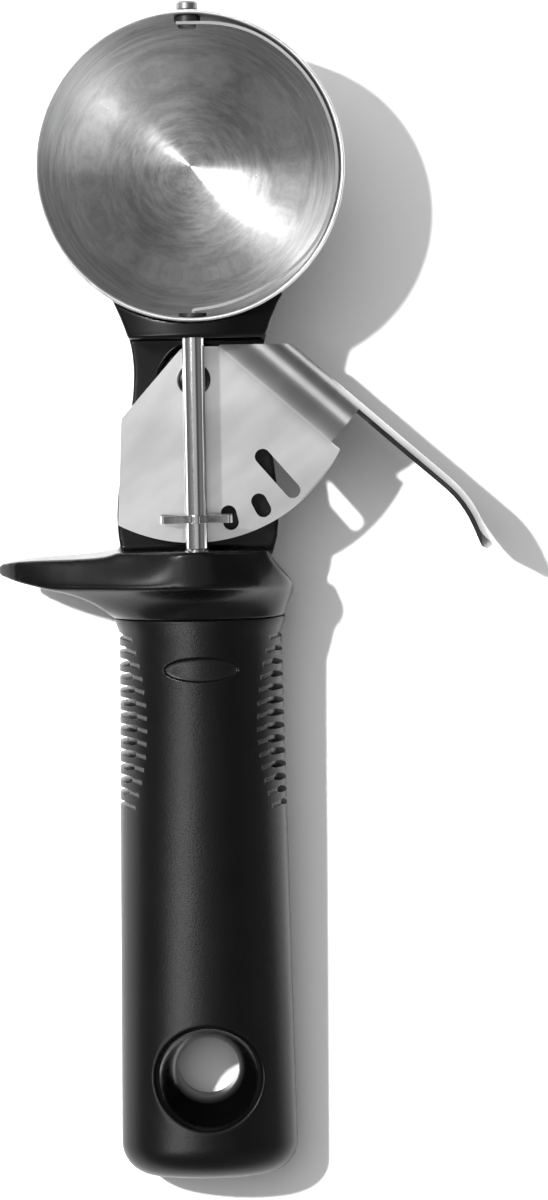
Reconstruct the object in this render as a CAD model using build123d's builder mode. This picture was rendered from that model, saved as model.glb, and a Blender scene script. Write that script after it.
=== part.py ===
"""Lever ice cream scoop: a steel bowl with a sweeping scraper blade, driven by a thumb lever.

The thumb lever turns on a rivet in the plastic body. Its sector plate has a row of tooth holes
that turn a star pinion on the long shaft, and the shaft swings the blade through the bowl.

Units are millimetres. Local sizes are written from the centre of the bowl's sphere, which lies on
the shaft axis: x across, y towards the tip of the bowl, z up out of the bowl. The helper planes
below place them in the part frame, whose origin is on the resting plane under the middle of the part.
"""
from build123d import *
from math import atan2, cos, radians, sin
import os

# ---- Driving dimensions ----
BOWL_R = 29.0              # outside radius of the bowl
BOWL_WALL = 0.75
RIM_Z = 3.5                # rim above the shaft axis

SHAFT_R = 2.1
JOURNAL_R = 1.6            # reduced ends of the shaft
FIT = 0.05                 # radial running clearance
BOND = 0.02                # gap between pieces that are glued, pressed or moulded together

PIVOT_Y = -39.9            # lever pivot, straight under the shaft
PINION_Y = -66.1           # pinion's middle along the shaft
PINION_T = 1.4
PINION_TIP_R = 7.65
TEETH = 6
HOLE_PITCH = 13.6          # degrees between the tooth holes of the lever
HOLE_ROW_R = 27.1          # tooth holes from the pivot

SHEET = 1.3                # lever sheet thickness
PLATE_Z = -6.0             # middle of the lever's sector plate
SECTOR_R = 31.2

NECK_TOP = -8.6            # upper face of the neck, under the sector plate
NECK_BACK = -20.5
BRIDGE_Y = -32.1           # face of the bridge that the shaft comes out of
SHOULDER_Y = -72.3         # wall that the shaft ends in
PARTING_Y = -85.5          # joint between body and grip
HANDLE_END = -195.3
HANDLE_TOP = (-1.5, -8.1)  # crown of the handle at the parting and at the end
HANDLE_BACK = -29.0
HANDLE_X = 0.4             # middle of the handle
GRIP_W_FRONT = 31.2
GRIP_W_END = 34.6

GUARD_LEFT = -38.2         # reach of the finger guard on each side
GUARD_RIGHT = 18.6
LEVER_REACH = 56.65        # far edge of the lever's thumb pad
PIN_TIP_Y = 30.8           # outer end of the tip pin

HANG_Y = -174.5            # hang hole
HANG_THROAT_R = 6.0
HANG_MOUTH_R = 10.25

# ---- Part frame: origin under the middle of the bounding box, on the resting plane ----
AXIS_X = -(GUARD_LEFT + LEVER_REACH) / 2
BOWL_Y = -(HANDLE_END + PIN_TIP_Y) / 2
AXIS_Z = BOWL_R

HOME = Vector(AXIS_X, BOWL_Y, AXIS_Z)
BOWL_AXIS = Axis(HOME, (0, 0, 1))


def level(z):
    """Horizontal plane at height z; sketch x is across and sketch y runs to the tip."""
    return Plane(origin=HOME + Vector(0, 0, z), x_dir=(1, 0, 0), z_dir=(0, 0, 1))


def across(y):
    """Upright plane across the scoop at y; its normal points to the handle end."""
    return Plane(origin=HOME + Vector(0, y, 0), x_dir=(1, 0, 0), z_dir=(0, -1, 0))


def along(x):
    """Upright plane along the scoop at x; sketch x runs to the tip and sketch y is up."""
    return Plane(origin=HOME + Vector(x, 0, 0), x_dir=(0, 1, 0), z_dir=(1, 0, 0))


def point(radius, angle):
    """Point on a circle about the sketch origin, angle in degrees."""
    return (radius * cos(radians(angle)), radius * sin(radians(angle)))


def crowned(middle, half_width, top, widest, back, corner):
    """Face with a half-elliptical top above its widest height and a flat back with round corners."""
    left, right = middle - half_width, middle + half_width
    with BuildLine() as outline:
        EllipticalCenterArc((middle, widest), half_width, top - widest, arc_size=180)
        Line((left, widest), (left, back + corner))
        CenterArc((left + corner, back + corner), corner, 180, 90)
        Line((left + corner, back), (right - corner, back))
        CenterArc((right - corner, back + corner), corner, 270, 90)
        Line((right, back + corner), (right, widest))
    make_face(outline.edges())


# ---- Bowl ----
BOWL_INNER = BOWL_R - BOWL_WALL
RIM_ROUND = BOWL_WALL / 2
BUSH_STEM_R = 2.3          # front bushing in the bowl wall and the bridge
TIP_STEM_R = 1.9

with BuildPart() as bowl:
    with BuildSketch(along(0)):
        with BuildLine():
            CenterArc((0, 0), BOWL_R, -90, 90)
            Line((BOWL_R, 0), (BOWL_R, RIM_Z - RIM_ROUND))
            ThreePointArc(
                (BOWL_R, RIM_Z - RIM_ROUND),
                (BOWL_R - RIM_ROUND, RIM_Z),
                (BOWL_INNER, RIM_Z - RIM_ROUND),
            )
            Line((BOWL_INNER, RIM_Z - RIM_ROUND), (BOWL_INNER, 0))
            CenterArc((0, 0), BOWL_INNER, 0, -90)
            Line((0, -BOWL_INNER), (0, -BOWL_R))
        make_face()
    revolve(axis=BOWL_AXIS)
    with BuildSketch(across(0)):
        Circle(BUSH_STEM_R + BOND)
    extrude(amount=BOWL_R + 1, mode=Mode.SUBTRACT)
    with BuildSketch(across(0)):
        Circle(TIP_STEM_R + BOND)
    extrude(amount=-(BOWL_R + 1), mode=Mode.SUBTRACT)

# ---- Scraper blade: one flat strip bent to the wall, tabbed at both ends ----
BLADE_T = 0.55
BLADE_HALF_W = 3.2
BLADE_R = 27.5             # middle of the strip from the bowl's centre
TAB_Y = 26.55              # tip tab, middle of the strip
TAB_END_X = -2.1
CHORD_ANGLE = -22          # where the strip leaves the wall on its way to the shaft
CHORD_END = (2.4, -26.55)
TONGUE_X = 0.15            # tongue that sits in the slot of the shaft
TONGUE_Y = -27.15
TONGUE_END_Y = -28.6
TONGUE_HALF_W = 1.2
TAB_HOLE_R = 1.25          # hole of the tip pin in the tab

with BuildPart() as scraper_blade:
    with BuildSketch(level(-BLADE_HALF_W)):
        with BuildLine():
            Line((TAB_END_X, TAB_Y), (2.4, TAB_Y))
            Spline(
                (2.4, TAB_Y),
                point(BLADE_R, 58),
                tangents=[(1, 0), (sin(radians(58)), -cos(radians(58)))],
            )
            CenterArc((0, 0), BLADE_R, 58, CHORD_ANGLE - 58)
            Spline(
                point(BLADE_R, CHORD_ANGLE),
                (13.2, -22.95),
                CHORD_END,
                tangents=[(sin(radians(CHORD_ANGLE)), -cos(radians(CHORD_ANGLE))), (-1, -0.12)],
            )
            FilletPolyline(
                CHORD_END,
                (TONGUE_X, TONGUE_Y + 0.32),
                (TONGUE_X, TONGUE_END_Y),
                radius=0.35,
            )
        trace(line_width=BLADE_T)
    extrude(amount=2 * BLADE_HALF_W)
    with BuildSketch(level(-BLADE_HALF_W)):
        with Locations((0, TONGUE_Y - 3)):
            Rectangle(8, 6)
    extrude(amount=BLADE_HALF_W - TONGUE_HALF_W, mode=Mode.SUBTRACT)
    with BuildSketch(level(TONGUE_HALF_W)):
        with Locations((0, TONGUE_Y - 3)):
            Rectangle(8, 6)
    extrude(amount=BLADE_HALF_W, mode=Mode.SUBTRACT)
    with BuildSketch(across(TAB_Y + 2)):
        Circle(TAB_HOLE_R)
    extrude(amount=4, mode=Mode.SUBTRACT)

# ---- Tip pin and its bushing ----
PIN_NECK_R = 1.2
PIN_HEAD_R = 2.05
PIN_HEAD_Y = BOWL_R + 0.3
PIN_PEEN_R = 1.75
TAB_INNER_Y = TAB_Y - BLADE_T / 2
TAB_OUTER_Y = TAB_Y + BLADE_T / 2

with BuildPart() as tip_pin:
    with BuildSketch(across(PIN_HEAD_Y + 0.1)):
        Circle(PIN_NECK_R)
    extrude(amount=PIN_HEAD_Y + 0.1 - (TAB_INNER_Y - 0.3))
    with BuildSketch(across(PIN_TIP_Y)):
        Circle(PIN_HEAD_R)
    extrude(amount=PIN_TIP_Y - PIN_HEAD_Y)
    chamfer(faces().sort_by(Axis.Y)[-1].edges(), length=0.4)
    with BuildSketch(across(TAB_INNER_Y)):
        Circle(PIN_PEEN_R)
    extrude(amount=0.6)
    fillet(faces().sort_by(Axis.Y)[0].edges(), radius=0.4)

TIP_FLANGE_R = 2.45
TIP_FLANGE_Y = 27.98       # the flange lies against the inside of the wall
TIP_STEM_Y = BOWL_R + 0.12

with BuildPart() as tip_bushing:
    with BuildSketch(across(TIP_STEM_Y)):
        Circle(TIP_STEM_R)
    extrude(amount=TIP_STEM_Y - (TAB_OUTER_Y + 0.1))
    with BuildSketch(across(TIP_FLANGE_Y)):
        Circle(TIP_FLANGE_R)
    extrude(amount=TIP_FLANGE_Y - (TAB_OUTER_Y + 0.1))
    with BuildSketch(across(PIN_TIP_Y)):
        Circle(PIN_NECK_R + FIT)
    extrude(amount=8, mode=Mode.SUBTRACT)

# ---- Drive shaft, its bushings and the star pinion ----
SHAFT_FRONT_Y = -30.3      # full diameter starts inside the bridge
SHAFT_REAR_Y = SHOULDER_Y + 0.3
FRONT_END_Y = -27.5
REAR_END_Y = -76.4

with BuildPart() as drive_shaft:
    with BuildSketch(across(SHAFT_FRONT_Y)):
        Circle(SHAFT_R)
    extrude(amount=SHAFT_FRONT_Y - SHAFT_REAR_Y)
    chamfer(edges().filter_by(GeomType.CIRCLE), length=0.35)
    with BuildSketch(across(FRONT_END_Y)):
        Circle(JOURNAL_R)
    extrude(amount=FRONT_END_Y - REAR_END_Y)
    with BuildSketch(across(FRONT_END_Y + 1)):
        with Locations((TONGUE_X, 0)):
            Rectangle(BLADE_T + 2 * BOND, 2 * TONGUE_HALF_W + 2 * BOND)
    extrude(amount=FRONT_END_Y + 1 - (TONGUE_END_Y - 0.2), mode=Mode.SUBTRACT)

with BuildPart() as front_bushing:
    with BuildSketch(across(FRONT_END_Y + 0.1)):
        Circle(BUSH_STEM_R + 0.35)
    extrude(amount=0.6)
    with BuildSketch(across(FRONT_END_Y)):
        Circle(BUSH_STEM_R)
    extrude(amount=FRONT_END_Y - (SHAFT_FRONT_Y + 0.1))
    with BuildSketch(across(FRONT_END_Y + 1)):
        Circle(JOURNAL_R + FIT)
    extrude(amount=6, mode=Mode.SUBTRACT)

REAR_BUSH_R = 2.4
with BuildPart() as rear_bushing:
    with BuildSketch(across(SHOULDER_Y - 0.3)):
        Circle(REAR_BUSH_R)
        Circle(JOURNAL_R + FIT, mode=Mode.SUBTRACT)
    extrude(amount=4.4)

# thrust washer between the shaft's shoulder and the rear bushing
with BuildPart() as shaft_washer:
    with BuildSketch(across(SHAFT_REAR_Y - 0.08)):
        Circle(REAR_BUSH_R)
        Circle(JOURNAL_R + FIT, mode=Mode.SUBTRACT)
    extrude(amount=0.5)

TOOTH_ROOT_W = 2.3
TOOTH_TIP_W = 1.3
PINION_HUB_R = 3.4
with BuildPart() as drive_pinion:
    with BuildSketch(across(PINION_Y + PINION_T / 2)):
        Circle(PINION_HUB_R)
        with PolarLocations(0, TEETH, start_angle=-90):
            Polygon(
                (PINION_HUB_R - 1, -TOOTH_ROOT_W / 2),
                (PINION_TIP_R, -TOOTH_TIP_W / 2),
                (PINION_TIP_R, TOOTH_TIP_W / 2),
                (PINION_HUB_R - 1, TOOTH_ROOT_W / 2),
                align=None,
            )
        fillet(vertices().filter_by(lambda v: Vector(v).length > PINION_TIP_R - 0.1), radius=0.45)
        Circle(SHAFT_R, mode=Mode.SUBTRACT)
    extrude(amount=PINION_T)

# ---- Thumb lever: sector plate, fold and thumb pad from one sheet ----
CREASE_START = (4.8, -33.7)            # the crease on the plate, near the bridge
CREASE_END = (27.6, -53.6)             # and at the sector's corner
crease_angle = atan2(CREASE_END[1] - CREASE_START[1], CREASE_END[0] - CREASE_START[0])
crease_dir = Vector(cos(crease_angle), sin(crease_angle), 0)
outward = Vector(-sin(crease_angle), cos(crease_angle), 0)
crease_origin = HOME + Vector(CREASE_START[0], CREASE_START[1], 0)

RISE_ANGLE = 28            # the flange climbs from the crease
BEND_R = 3.6               # middle of the sheet at the crest
CREST_N = 5.15             # crest from the crease
PAD_BOTTOM = -24.0
LIP_ANGLE = 46             # how far the pad's upper edge still curls over
FOLD_END_S = 28.0          # the fold is cut off here, and the pad goes on
PAD_STRAIGHT_S = 50.0
PAD_BEND = 26              # the pad turns towards the handle near its end
PAD_BEND_R = 22.0
PAD_TIP_RUN = 5.2
PAD_TOP = -4.1             # upper corner of the pad's end, and the end itself along the crease
PAD_END_S = 64.6
PAD_CORNER_R = 4.5
PAD_HEEL_R = 10.0
PIVOT_BORE_R = 2.25
TOOTH_HOLE_W = 2.95
TOOTH_HOLE_L = 4.75
LONG_SLOT = (19.6, 28.2)   # end centres of the last, long tooth hole, from the pivot
PLATE_TOP_EDGE_Y = -33.4

rise = radians(RISE_ANGLE)
rise_end_n = CREST_N - BEND_R * sin(rise)
rise_start_n = -0.35
rise_end_z = PLATE_Z + (rise_end_n - rise_start_n) * sin(rise) / cos(rise)
bend_centre_z = rise_end_z - BEND_R * cos(rise)
fold_section = Plane(origin=crease_origin, x_dir=outward, z_dir=crease_dir)
fold_plan = Plane(origin=crease_origin, x_dir=crease_dir, z_dir=(0, 0, 1))
fold_side = Plane(origin=crease_origin, x_dir=crease_dir, z_dir=outward * -1)
pad_n = CREST_N + BEND_R

with BuildPart() as sector:
    with BuildSketch(level(PLATE_Z - SHEET / 2)):
        with BuildLine():
            Polyline(
                CREASE_END,
                CREASE_START,
                (-1.6, PLATE_TOP_EDGE_Y - 0.2),
                (-2.6, -34.3),
                (-13.9, -47.1),
                (-14.9, -67.3),
            )
            RadiusArc((-14.9, -67.3), CREASE_END, -SECTOR_R)
        make_face()
        with Locations((0, PIVOT_Y)):
            Circle(PIVOT_BORE_R, mode=Mode.SUBTRACT)
        for step in range(3):
            hole_angle = -90 + step * HOLE_PITCH
            hole = point(HOLE_ROW_R, hole_angle)
            with Locations((hole[0], PIVOT_Y + hole[1])):
                SlotOverall(TOOTH_HOLE_L, TOOTH_HOLE_W, rotation=hole_angle, mode=Mode.SUBTRACT)
        slot_angle = -90 + 3 * HOLE_PITCH
        slot = point(sum(LONG_SLOT) / 2, slot_angle)
        with Locations((slot[0], PIVOT_Y + slot[1])):
            SlotCenterToCenter(
                LONG_SLOT[1] - LONG_SLOT[0], TOOTH_HOLE_W, rotation=slot_angle, mode=Mode.SUBTRACT
            )
    extrude(amount=SHEET)

with BuildPart() as fold:
    with BuildSketch(fold_section):
        with BuildLine():
            Line((rise_start_n, PLATE_Z), (rise_end_n, rise_end_z))
            CenterArc((CREST_N, bend_centre_z), BEND_R, 90 + RISE_ANGLE, -90 - RISE_ANGLE)
            Line((pad_n, bend_centre_z), (pad_n, PAD_BOTTOM))
        trace(line_width=SHEET)
    extrude(amount=FOLD_END_S)

with BuildPart() as pad:
    with BuildLine(fold_plan):
        Line((FOLD_END_S - 4, pad_n), (PAD_STRAIGHT_S, pad_n))
        pad_bend_line = CenterArc((PAD_STRAIGHT_S, pad_n - PAD_BEND_R), PAD_BEND_R, 90, -PAD_BEND)
        Line(
            pad_bend_line @ 1,
            pad_bend_line @ 1 + (pad_bend_line % 1) * PAD_TIP_RUN,
        )
    with BuildSketch(fold_section.offset(FOLD_END_S - 4)):
        with BuildLine():
            CenterArc((CREST_N, bend_centre_z), BEND_R, LIP_ANGLE, -LIP_ANGLE)
            Line((pad_n, bend_centre_z), (pad_n, PAD_BOTTOM))
        trace(line_width=SHEET)
    sweep()
    with BuildSketch(fold_side):
        with Locations((FOLD_END_S - 6, PAD_BOTTOM)):
            Rectangle(
                PAD_END_S - FOLD_END_S + 6, PAD_TOP - PAD_BOTTOM, align=(Align.MIN, Align.MIN)
            )
        fillet(vertices().sort_by(Axis.X)[-2:].sort_by(Axis.Y)[0], radius=PAD_HEEL_R)
        fillet(vertices().sort_by(Axis.X)[-2:].sort_by(Axis.Y)[-1], radius=PAD_CORNER_R)
    extrude(amount=15, both=True, mode=Mode.INTERSECT)

with BuildPart() as thumb_lever:
    add(fold.part)
    with BuildSketch(level(PAD_BOTTOM - 1)):
        with Locations((10, PLATE_TOP_EDGE_Y + 10)):
            Rectangle(40, 20)
    extrude(amount=30, mode=Mode.SUBTRACT)
    add(sector.part)
    add(pad.part)

# ---- Lever pivot: rivet, sleeve, washers and return spring ----
HEAD_UNDER_Z = PLATE_Z + SHEET / 2 + 0.15
RIVET_HEAD_R = 3.2
RIVET_HEAD_H = 1.45
RIVET_R = 1.5
SLEEVE_R = 3.0
WELL_FLOOR = -12.0
WELL_R = 6.6
WASHER_T = 0.4
WASHER_TOP = PLATE_Z - SHEET / 2 - 0.1
LEVER_WASHER_R = 5.6
BACK_WASHER_T = 0.6
BACK_WASHER_R = 3.7
TAIL_R = 2.5

with BuildPart() as lever_rivet:
    with BuildSketch(level(HEAD_UNDER_Z)):
        with Locations((0, PIVOT_Y)):
            Circle(RIVET_HEAD_R)
    extrude(amount=RIVET_HEAD_H)
    fillet(faces().sort_by(Axis.Z)[-1].edges(), radius=1.1)
    with BuildSketch(level(HEAD_UNDER_Z)):
        with Locations((0, PIVOT_Y)):
            Circle(RIVET_R)
    extrude(amount=-(HEAD_UNDER_Z - NECK_BACK + BACK_WASHER_T + BOND))
    with BuildSketch(level(NECK_BACK - BACK_WASHER_T - BOND)):
        with Locations((0, PIVOT_Y)):
            Circle(TAIL_R)
    extrude(amount=-1.0)
    fillet(faces().sort_by(Axis.Z)[0].edges(), radius=0.7)

with BuildPart() as pivot_sleeve:
    with BuildSketch(level(WELL_FLOOR + BOND)):
        with Locations((0, PIVOT_Y)):
            Circle(SLEEVE_R)
    extrude(amount=WASHER_TOP - WASHER_T - WELL_FLOOR - 2 * BOND)
    with BuildSketch(level(WELL_FLOOR + BOND)):
        with Locations((0, PIVOT_Y)):
            Circle(PIVOT_BORE_R - FIT)
    extrude(amount=HEAD_UNDER_Z - WELL_FLOOR - 2 * BOND)
    with BuildSketch(level(WELL_FLOOR - 1)):
        with Locations((0, PIVOT_Y)):
            Circle(RIVET_R + BOND)
    extrude(amount=9, mode=Mode.SUBTRACT)


def washer(z, outer_r, inner_r, thickness):
    """Flat ring about the lever pivot, with its lower face at z."""
    with BuildPart() as ring:
        with BuildSketch(level(z)):
            with Locations((0, PIVOT_Y)):
                Circle(outer_r)
                Circle(inner_r, mode=Mode.SUBTRACT)
        extrude(amount=thickness)
    return ring


lever_washer = washer(WASHER_TOP - WASHER_T, LEVER_WASHER_R, PIVOT_BORE_R, WASHER_T)
rivet_washer = washer(NECK_BACK - BACK_WASHER_T, BACK_WASHER_R, RIVET_R + BOND, BACK_WASHER_T)

WIRE_R = 0.45
COIL_R = 4.6
COIL_PITCH = 1.15
FIXED_LEG_ANGLE = 0        # where the coil starts, seen from above
MOVING_LEG_ANGLE = -77     # where it ends, whole turns later
WHOLE_TURNS = 3
FIXED_LEG = 7.0
MOVING_LEG = 22.1
LEG_Z = WASHER_TOP - WASHER_T - WIRE_R - 0.05
coil_turns = WHOLE_TURNS + (MOVING_LEG_ANGLE - FIXED_LEG_ANGLE) / 360
coil_bottom = LEG_Z - coil_turns * COIL_PITCH

with BuildPart() as return_spring:
    with BuildLine(Plane(origin=HOME + Vector(0, PIVOT_Y, coil_bottom))) as coil:
        Helix(pitch=COIL_PITCH, height=coil_turns * COIL_PITCH, radius=COIL_R)
    with BuildSketch(Plane(origin=coil.line @ 0, z_dir=coil.line % 0)):
        Circle(WIRE_R)
    sweep(path=coil.line)
    with BuildSketch(Plane(origin=coil.line @ 0, z_dir=(*point(-1, FIXED_LEG_ANGLE + 90), 0))):
        Circle(WIRE_R)
    extrude(amount=FIXED_LEG)
    with BuildSketch(Plane(origin=coil.line @ 1, z_dir=(*point(1, MOVING_LEG_ANGLE + 90), 0))):
        Circle(WIRE_R)
    extrude(amount=MOVING_LEG)
    with Locations(coil.line @ 0, coil.line @ 1):
        Sphere(WIRE_R)

# ---- Body: bridge and saddle under the bowl, neck, shoulder, finger guard and tang ----
SADDLE_R = BOWL_R + 0.15
BRIDGE_TOP = 3.2
SADDLE_FRONT_Y = -17.0
TANG_END_Y = -112.0
TANG = (14.0, 12.0)        # width and height
TANG_Z = -15.5
SHOULDER = (0.3, 13.8, 3.4, -13.0, -26.0, 6.0)    # as the arguments of crowned()
COLLAR_W = 33.1
GUARD_FRONT_Y = -68.0
GUARD_TIP_Y = -75.8
GUARD_CREST_Z = 4.0        # crest of the guard over the shaft's end
GUARD_CREST_Y = -79.2
HANDLE_WIDEST = (-15.3, -19.4)   # height of the handle's widest line at the parting and at the end
HANDLE_CORNER = 9.0              # corners of the handle's back


def handle_at(y, ends):
    """Value at y of something that changes evenly from the parting to the end of the handle."""
    return ends[0] + (ends[1] - ends[0]) * (PARTING_Y - y) / (PARTING_Y - HANDLE_END)


def handle_face(y, widths, inset):
    """Section of the handle at y, moved in by inset."""
    crowned(
        HANDLE_X,
        handle_at(y, widths) / 2 - inset,
        handle_at(y, HANDLE_TOP) - inset,
        handle_at(y, HANDLE_WIDEST),
        HANDLE_BACK + inset,
        HANDLE_CORNER - inset,
    )


with BuildPart() as neck:
    with BuildSketch(level(NECK_BACK)):
        with BuildLine():
            left = Spline((-15.8, -23.5), (-13.7, -27.9), (-12.2, -32.1), (-12.0, -45), (-14.0, -74))
            right = Spline((14.6, -74), (14.1, -50), (13.6, -33), (14.4, -29.8), (17.1, -24))
            Line(left @ 1, right @ 0)
            Polyline(right @ 1, (15, SADDLE_FRONT_Y), (-14, SADDLE_FRONT_Y), left @ 0)
        make_face()
    extrude(amount=NECK_TOP - NECK_BACK)
    fillet(faces().sort_by(Axis.Z)[0].edges(), radius=3.0)

with BuildPart() as bridge:
    with BuildSketch(level(NECK_TOP - 1)):
        with BuildLine():
            left = Spline((-15.8, -23.5), (-13.7, -27.9), (-12.2, BRIDGE_Y))
            right = Spline((13.6, BRIDGE_Y), (14.4, -29.8), (17.1, -24))
            Line(left @ 1, right @ 0)
            Polyline(right @ 1, (15, SADDLE_FRONT_Y), (-14, SADDLE_FRONT_Y), left @ 0)
        make_face()
    extrude(amount=BRIDGE_TOP - NECK_TOP + 1)
    fillet(faces().sort_by(Axis.Z)[-1].edges().sort_by(Axis.Y)[0], radius=0.8)

with BuildPart() as collar:
    with BuildSketch(across(SHOULDER_Y)):
        crowned(*SHOULDER)
    with BuildSketch(across(PARTING_Y)):
        handle_face(PARTING_Y, (COLLAR_W, COLLAR_W), 0)
    loft()

# The guard's section at its crest, in the fall behind the crest, and at the parting
CREST_SECTION = [
    (GUARD_LEFT, -12.5), (-33.5, -7.2), (-22, -1.8), (-9, 3.0), (2, GUARD_CREST_Z), (9.5, 1.4),
    (GUARD_RIGHT - 3.2, -5.0), (GUARD_RIGHT, -12.5), (14.6, -23.5), (4, -28.3), (-10, -27.9),
    (-24, -24.0), (-34, -18.4),
]
FALL_Y = -82.4
FALL_SECTION = [
    (-26.5, -14.5), (-22.5, -8.6), (-15.6, -4.2), (-7, -1.0), (0.6, -0.4), (8.4, -2.1),
    (14.8, -7.2), (18.0, -14.5), (14.2, -24.2), (4, -28.3), (-8, -28.3), (-17, -24.8), (-23.5, -19.8),
]
END_SECTION = [
    (-16.15, -15.3), (-15.0, -9.4), (-11.4, -5.2), (-5.8, -2.4), (0.4, -1.5), (7.4, -2.8),
    (13.4, -6.4), (16.95, -15.3), (14.2, -24.9), (6, -28.3), (-5, -28.3), (-12.4, -25.9), (-15.6, -20.4),
]

with BuildPart() as guard:
    with BuildSketch(across(GUARD_FRONT_Y)):
        with BuildLine():
            Spline(*CREST_SECTION, periodic=True)
        make_face()
    extrude(amount=GUARD_FRONT_Y - GUARD_CREST_Y)
    for y, section in ((GUARD_CREST_Y, CREST_SECTION), (FALL_Y, FALL_SECTION), (PARTING_Y, END_SECTION)):
        with BuildSketch(across(y)):
            with BuildLine():
                Spline(*section, periodic=True)
            make_face()
    loft()
    with BuildSketch(level(-32)):
        with BuildLine():
            front = Spline(
                (-13.4, -68.8), (-14.6, -71.9), (-19.4, -73.3), (-30.5, -73.8), (-37.0, -74.6)
            )
            tip = ThreePointArc(front @ 1, (GUARD_LEFT, GUARD_TIP_Y), (-37.0, -77.1))
            rear = Spline(tip @ 1, (-31.2, -78.8), (-23.4, -80.8), (-18.2, -83.6), (-16.15, PARTING_Y))
            Line(rear @ 1, (17.0, PARTING_Y))
            Spline((17.0, PARTING_Y), (17.3, -83.2), (GUARD_RIGHT, -81.4), (15.3, -75.6), (14.4, -68.8))
            Line((14.4, -68.8), front @ 0)
        make_face()
    extrude(amount=40, mode=Mode.INTERSECT)
    with BuildSketch(level(NECK_TOP)):
        with Locations((0, SHOULDER_Y + 10)):
            Rectangle(100, 20)
    extrude(amount=20, mode=Mode.SUBTRACT)

SPRING_POCKET = (1.3, 6.0)
BRACKET_HALF_W = 5.2
BRACKET_T = 1.5
BRACKET_Z = -15.5          # lower face of the bracket's tongue
BRACKET_END_Y = -66.0
PAD_HALF_W = 9.0
PAD_R = BOWL_R + 1.4
PAD_Z = (-19.5, -9.0)
SCREW_Y = (-50.0, -60.0)
SCREW_R = 1.3
SCREW_HEAD_R = 2.7
SCREW_HEAD_H = 1.5
SCREW_CROSS = (3.2, 0.7)   # arms of the cross recess

with BuildPart() as pad_seat:
    with BuildSketch(across(0)):
        with Locations((0, sum(PAD_Z) / 2)):
            Rectangle(2 * (PAD_HALF_W + BOND), PAD_Z[1] - PAD_Z[0] + 2 * BOND)
    extrude(amount=40)
    with Locations(HOME):
        Sphere(PAD_R + BOND, mode=Mode.INTERSECT)

with BuildPart() as body:
    add(neck.part)
    add(bridge.part)
    add(collar.part)
    add(guard.part)
    with BuildSketch(across(PARTING_Y + 1)):
        with Locations((HANDLE_X, TANG_Z)):
            RectangleRounded(*TANG, 1.5)
    extrude(amount=PARTING_Y + 1 - TANG_END_Y)
    # seat of the bowl, and of the bracket welded to it
    with Locations(HOME):
        Sphere(SADDLE_R, mode=Mode.SUBTRACT)
    with BuildSketch(level(0)):
        Circle(SADDLE_R)
    extrude(amount=BRIDGE_TOP + 1, mode=Mode.SUBTRACT)
    add(pad_seat.part, mode=Mode.SUBTRACT)
    with BuildSketch(across(-20)):
        with Locations((0, BRACKET_Z + BRACKET_T / 2)):
            Rectangle(2 * (BRACKET_HALF_W + BOND), BRACKET_T + 2 * BOND)
    extrude(amount=-20 - BRACKET_END_Y + 0.1, mode=Mode.SUBTRACT)
    # shaft bores
    with BuildSketch(across(-20)):
        Circle(BUSH_STEM_R + BOND)
    extrude(amount=15, mode=Mode.SUBTRACT)
    with BuildSketch(across(SHOULDER_Y + 1)):
        Circle(REAR_BUSH_R + BOND)
    extrude(amount=6, mode=Mode.SUBTRACT)
    # pivot hole, spring well and the pocket of the spring's fixed leg
    with BuildSketch(level(NECK_BACK - 1)):
        with Locations((0, PIVOT_Y)):
            Circle(RIVET_R + BOND)
    extrude(amount=20, mode=Mode.SUBTRACT)
    with BuildSketch(level(WELL_FLOOR)):
        with Locations((0, PIVOT_Y)):
            Circle(WELL_R)
        with Locations((COIL_R, PIVOT_Y - SPRING_POCKET[1])):
            Rectangle(*SPRING_POCKET)
    extrude(amount=5, mode=Mode.SUBTRACT)
    # screw holes from the back
    with BuildSketch(level(NECK_BACK - 1)):
        with Locations(*[(0, y) for y in SCREW_Y]):
            Circle(SCREW_R + 0.1)
    extrude(amount=8.5, mode=Mode.SUBTRACT)
    with BuildSketch(level(NECK_BACK - 1)):
        with Locations(*[(0, y) for y in SCREW_Y]):
            Circle(SCREW_HEAD_R + 0.1)
    extrude(amount=SCREW_HEAD_H + 1.1, mode=Mode.SUBTRACT)

with BuildPart() as bowl_bracket:
    with BuildSketch(across(0)):
        with Locations((0, sum(PAD_Z) / 2)):
            Rectangle(2 * PAD_HALF_W, PAD_Z[1] - PAD_Z[0])
    extrude(amount=40)
    with Locations(HOME):
        Sphere(PAD_R, mode=Mode.INTERSECT)
    with BuildSketch(across(-20)):
        with Locations((0, BRACKET_Z + BRACKET_T / 2)):
            Rectangle(2 * BRACKET_HALF_W, BRACKET_T)
    extrude(amount=-20 - BRACKET_END_Y)
    with Locations(HOME):
        Sphere(BOWL_R + BOND, mode=Mode.SUBTRACT)
    with BuildSketch(level(BRACKET_Z - 1)):
        with Locations((0, PIVOT_Y)):
            Circle(RIVET_R + BOND)
        with Locations(*[(0, y) for y in SCREW_Y]):
            Circle(SCREW_R + BOND)
    extrude(amount=4, mode=Mode.SUBTRACT)

with BuildPart() as bracket_screws:
    with BuildSketch(level(NECK_BACK + 0.1)):
        with Locations(*[(0, y) for y in SCREW_Y]):
            Circle(SCREW_HEAD_R)
    extrude(amount=SCREW_HEAD_H)
    with BuildSketch(level(NECK_BACK + 0.1)):
        with Locations(*[(0, y) for y in SCREW_Y]):
            Circle(SCREW_R)
    extrude(amount=BRACKET_Z + BRACKET_T - NECK_BACK - 0.3)
    with BuildSketch(level(NECK_BACK)):
        for y in SCREW_Y:
            with Locations((0, y)):
                Rectangle(*SCREW_CROSS)
                Rectangle(*SCREW_CROSS, rotation=90)
    extrude(amount=0.9, mode=Mode.SUBTRACT)

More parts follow.
